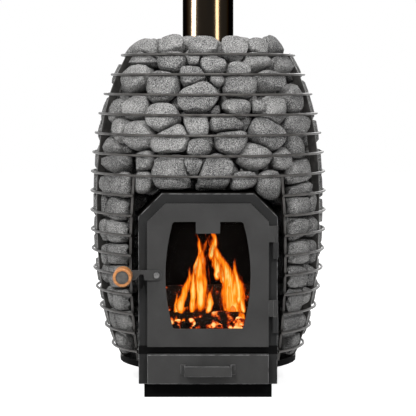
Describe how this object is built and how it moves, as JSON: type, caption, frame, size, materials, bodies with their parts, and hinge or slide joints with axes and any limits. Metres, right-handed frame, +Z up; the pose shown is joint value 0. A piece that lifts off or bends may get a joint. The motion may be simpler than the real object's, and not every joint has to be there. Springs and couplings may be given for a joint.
{
  "type": "wood-burning sauna stove",
  "caption": "Barrel-shaped sauna stove: a cage of wire rings full of stones round a steel firebox with glazed door, lever latch, ash drawer and flue.",
  "frame": {"origin": "on the floor under the middle of the round cage and its flue", "axes": "+Z up along the flue, -Y towards the front with the door, +X to the right of someone facing the door"},
  "size_m": [0.56, 0.6286, 0.9981],
  "materials": {
    "door_steel": "satin dark grey heat-proof paint",
    "body_steel": "satin dark grey heat-proof paint",
    "black_steel": "matt black paint",
    "inner_steel": "sooty black steel",
    "cage_steel": "plain grey steel wire and strip",
    "bright_steel": "plain bright steel",
    "cap_steel": "brushed steel",
    "flue_steel": "dark polished steel",
    "cast_iron": "raw cast",
    "stone": "rough speckled grey stone",
    "wood": "oiled orange-brown hardwood",
    "char": "burning log, charred",
    "glass": "clear ceramic stove glass",
    "rope": "woven glass rope"
  },
  "bodies": {
    "stove": {"cage_ring_01": "cage_steel", "cage_ring_02": "cage_steel", "cage_ring_03": "cage_steel", "cage_ring_04": "cage_steel", "cage_ring_05": "cage_steel", "cage_ring_06": "cage_steel", "cage_ring_07": "cage_steel", "cage_ring_08": "cage_steel", "cage_ring_09": "cage_steel", "cage_ring_10": "cage_steel", "cage_ring_11": "cage_steel", "cage_ring_12": "cage_steel", "cage_ring_13": "cage_steel", "cage_ring_14": "cage_steel", "cage_ring_15": "cage_steel", "cage_ring_16": "cage_steel", "cage_rib_1": "cage_steel", "cage_rib_2": "cage_steel", "cage_rib_3": "cage_steel", "cage_rib_4": "cage_steel", "cage_rib_5": "cage_steel", "cage_rib_6": "cage_steel", "cage_rib_7": "cage_steel", "cage_post_left": "cage_steel", "cage_post_right": "cage_steel", "stones_lower": "stone", "stones_middle": "stone", "stones_upper": "stone", "stones_crown": "stone", "log_front": "char", "log_back": "char", "log_top": "char", "base_plinth": "black_steel", "stone_tray": "black_steel", "firebox_shell": "body_steel", "front_frame": "body_steel", "firebox_back": "body_steel", "grate_shelf": "inner_steel", "smoke_baffle": "inner_steel", "fire_grate": "cast_iron", "flue_spigot": "inner_steel", "flue_pipe": "flue_steel", "hinge_post_upper": "body_steel", "hinge_post_lower": "body_steel", "hinge_pin_upper": "bright_steel", "hinge_pin_lower": "bright_steel", "latch_keeper": "body_steel"},
    "door": {"door_panel": "door_steel", "door_glass": "glass", "glass_retainer": "inner_steel", "door_seal": "rope", "hinge_leaf_upper": "door_steel", "hinge_leaf_lower": "door_steel", "latch_bolt": "bright_steel"},
    "handle": {"latch_lever": "door_steel", "latch_knob": "wood", "knob_cap": "cap_steel"},
    "ash_drawer": {"drawer_front": "door_steel", "ash_pan": "inner_steel", "drawer_pull": "door_steel"}
  },
  "joints": [
    {"name": "door_swing", "type": "hinge", "parent": "stove", "child": "door", "pos_m": [0.1495, -0.293, 0.278], "axis": [0, 0, 1], "range_deg": [0, 115]},
    {"name": "handle_lift", "type": "hinge", "parent": "door", "child": "handle", "pos_m": [-0.114, -0.2998, 0.278], "axis": [0, 1, 0], "range_deg": [0, 50]},
    {"name": "drawer_slide", "type": "slide", "parent": "stove", "child": "ash_drawer", "axis": [0, -1, 0], "range_m": [0, 0.3]}
  ]
}
